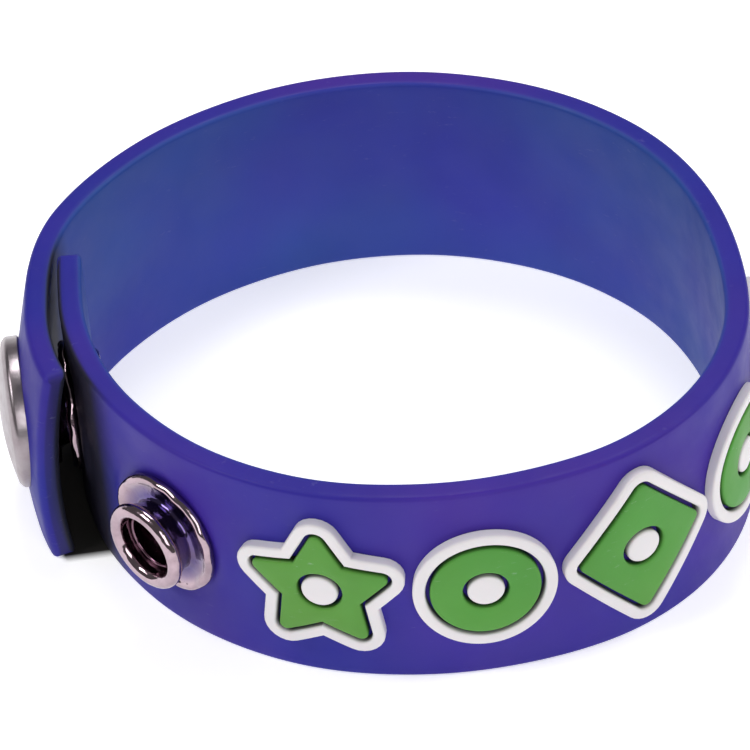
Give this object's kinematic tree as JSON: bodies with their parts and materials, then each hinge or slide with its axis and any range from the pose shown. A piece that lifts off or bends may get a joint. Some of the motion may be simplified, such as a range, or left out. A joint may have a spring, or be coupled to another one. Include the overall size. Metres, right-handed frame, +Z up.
{
  "type": "snap bracelet",
  "caption": "Moulded soft strap bent into a wrist loop, closed by a domed press snap, with a spare stud and a raised row of stars, rings and lozenges outside.",
  "frame": {"origin": "middle of the whole part's footprint, at the height of the strap's lower edge, which the loop stands on", "axes": "+Z up along the strap's width, the front with the open stud and the first motifs faces -Y, the overlap and the cap are at -X"},
  "size_m": [0.0656, 0.06, 0.02],
  "materials": {
    "strap": "smooth moulded soft vinyl, violet blue, satin",
    "nickel": "polished nickel plate, worn by handling",
    "outline_white": "moulded soft vinyl, white, satin",
    "motif_green": "moulded soft vinyl, leaf green, satin"
  },
  "bodies": {
    "root": {"band": "strap", "snap_cap": "nickel", "snap_socket": "nickel", "closed_stud": "nickel", "closed_eyelet": "nickel", "open_stud": "nickel", "open_eyelet": "nickel", "outline_1": "outline_white", "outline_2": "outline_white", "outline_3": "outline_white", "outline_4": "outline_white", "outline_5": "outline_white", "outline_6": "outline_white", "outline_7": "outline_white", "outline_8": "outline_white", "outline_9": "outline_white", "motif_1": "motif_green", "motif_2": "motif_green", "motif_3": "motif_green", "motif_4": "motif_green", "motif_5": "motif_green", "motif_6": "motif_green", "motif_7": "motif_green", "motif_8": "motif_green", "motif_9": "motif_green"}
  },
  "joints": []
}
